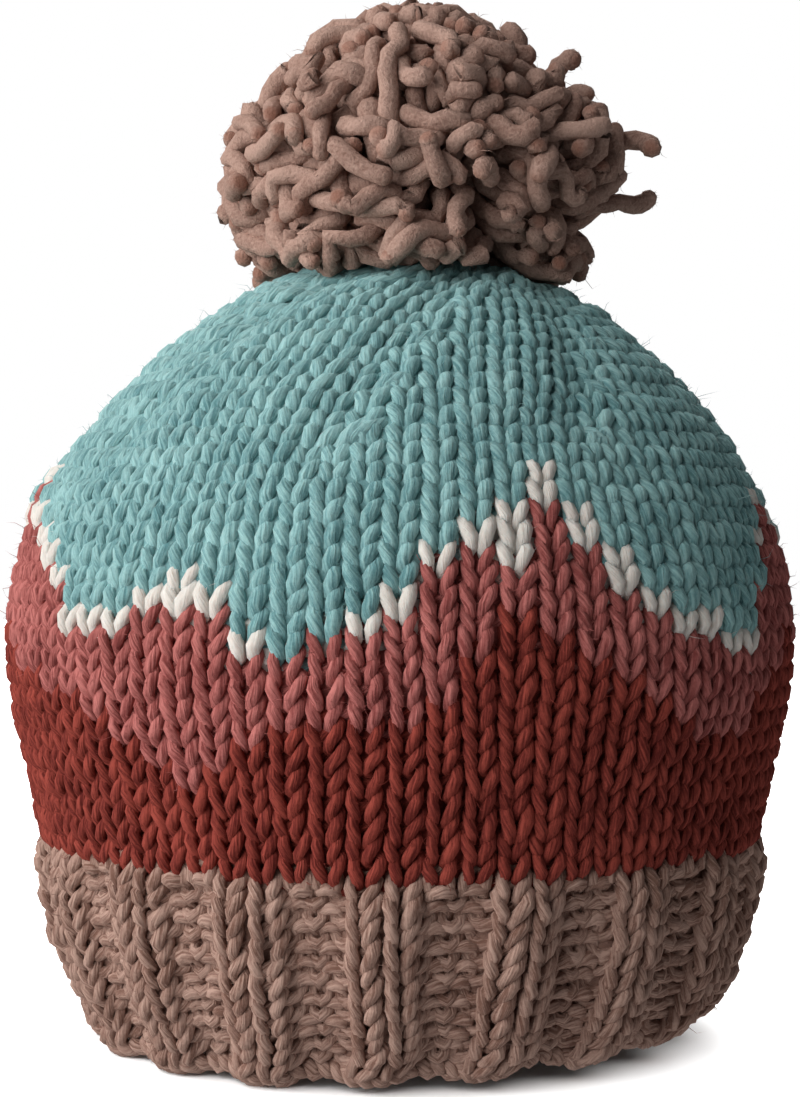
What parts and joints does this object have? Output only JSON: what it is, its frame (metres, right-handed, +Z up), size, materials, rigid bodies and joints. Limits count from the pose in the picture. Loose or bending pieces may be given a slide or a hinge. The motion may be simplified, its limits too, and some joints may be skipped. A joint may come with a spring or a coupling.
{
  "type": "knit toque",
  "caption": "Hand-knit bulky wool toque with a ribbed brim, a snow-capped mountain range in colourwork, a swirled crown and a cut-yarn pompom; open underneath for the head.",
  "frame": {"origin": "centre of the rim, on the table", "axes": "+Z up from the rim to the pompom, -Y the front with the tall middle peak, +X to the right as seen from the front"},
  "size_m": [0.1806, 0.1806, 0.231],
  "materials": {
    "taupe_yarn": "fuzzy bulky wool, matte",
    "rust_yarn": "fuzzy bulky wool, matte",
    "rose_yarn": "fuzzy bulky wool, matte",
    "white_yarn": "smooth bulky wool, matte",
    "teal_yarn": "slightly felted bulky wool, matte"
  },
  "bodies": {
    "root": {"ribbed_brim": "taupe_yarn", "rust_band": "rust_yarn", "rose_mountains": "rose_yarn", "snow_ridge": "white_yarn", "teal_crown": "teal_yarn", "pompom": "taupe_yarn"}
  },
  "joints": []
}
